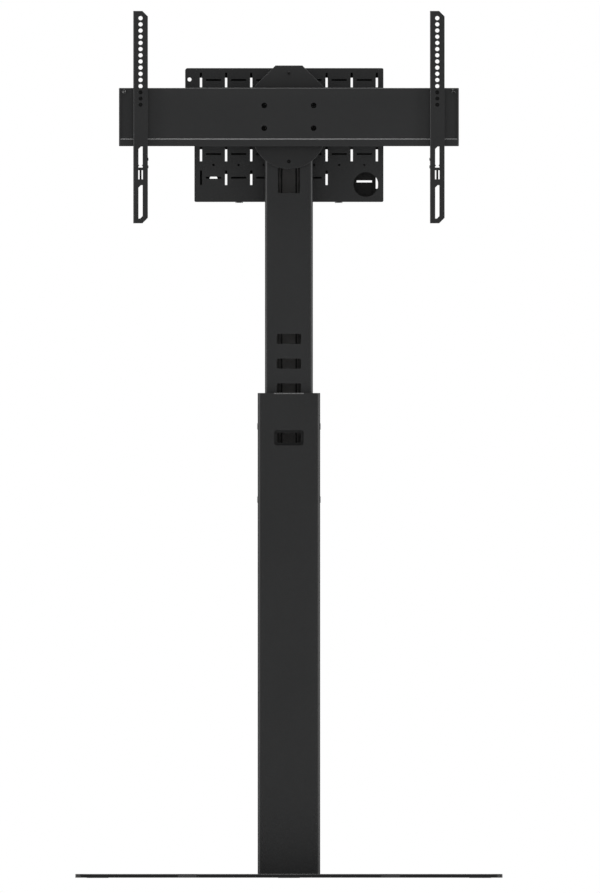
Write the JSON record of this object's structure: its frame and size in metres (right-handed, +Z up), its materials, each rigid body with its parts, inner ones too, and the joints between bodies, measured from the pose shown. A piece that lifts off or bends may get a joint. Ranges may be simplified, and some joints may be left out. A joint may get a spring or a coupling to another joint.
{
  "type": "tv floor stand",
  "caption": "Floor stand for a flat television: recessed floor plate, telescopic column, crossbar with hook-on display rails on sprung latches, and a lidded media box behind.",
  "frame": {"origin": "centre of the floor plate, on the floor", "axes": "+Z up, -Y towards the viewer of the display, +X to the viewer's right"},
  "size_m": [0.864, 0.54, 1.7531],
  "materials": {
    "coated_steel": "matte black powder coat",
    "coated_aluminium": "matte black powder coat",
    "black_screws": "black oxide",
    "bare_steel": "zinc plated",
    "black_plastic": "moulded, fine grain",
    "pad_rubber": "matt"
  },
  "bodies": {
    "base": {"base_plate": "coated_steel", "floor_pads": "pad_rubber", "foot_plate": "coated_steel", "foot_bolts": "bare_steel", "outer_column": "coated_steel", "outlet_frame": "black_plastic", "guide_bush": "black_plastic", "clamp_inserts": "black_screws", "clamp_screws": "black_screws", "clamp_bar_left": "bare_steel", "clamp_bar_right": "bare_steel"},
    "head": {"inner_column": "coated_steel", "glide_shoe": "black_plastic", "glide_screws": "bare_steel", "column_cap": "black_plastic", "head_plate": "coated_steel", "head_doubler": "coated_steel", "head_screws": "black_screws", "crossbar": "coated_aluminium", "bar_cap_left": "black_plastic", "bar_cap_right": "black_plastic", "bar_bolts": "black_screws", "stop_screws": "black_screws", "media_plate": "coated_steel", "plate_screws": "black_screws", "hinge_pins": "bare_steel"},
    "rail_left": {"rail_left": "coated_steel", "latch_rivets_left": "black_screws", "latch_spring_left": "bare_steel"},
    "rail_right": {"rail_right": "coated_steel", "latch_rivets_right": "black_screws", "latch_spring_right": "bare_steel"},
    "latch_left": {"latch_left": "bare_steel"},
    "latch_right": {"latch_right": "bare_steel"},
    "media_lid": {"media_lid": "coated_steel"}
  },
  "joints": [
    {"name": "column_height", "type": "slide", "parent": "base", "child": "head", "axis": [0, 0, 1], "range_m": [-0.379, 0]},
    {"name": "rail_left_slide", "type": "slide", "parent": "head", "child": "rail_left", "axis": [1, 0, 0], "range_m": [-0.0137, 0.25]},
    {"name": "rail_right_slide", "type": "slide", "parent": "head", "child": "rail_right", "axis": [1, 0, 0], "range_m": [-0.25, 0.0137]},
    {"name": "latch_left_slide", "type": "slide", "parent": "rail_left", "child": "latch_left", "axis": [0, 0, 1], "range_m": [-0.01, 0], "stiffness_N_per_m": 400, "springref_m": 0.01, "deforming": ["latch_spring_left"]},
    {"name": "latch_right_slide", "type": "slide", "parent": "rail_right", "child": "latch_right", "axis": [0, 0, 1], "range_m": [-0.01, 0], "stiffness_N_per_m": 400, "springref_m": 0.01, "deforming": ["latch_spring_right"]},
    {"name": "lid_hinge", "type": "hinge", "parent": "head", "child": "media_lid", "pos_m": [0, 0.07465, 1.3688], "axis": [-1, 0, 0], "range_deg": [0, 90]}
  ]
}
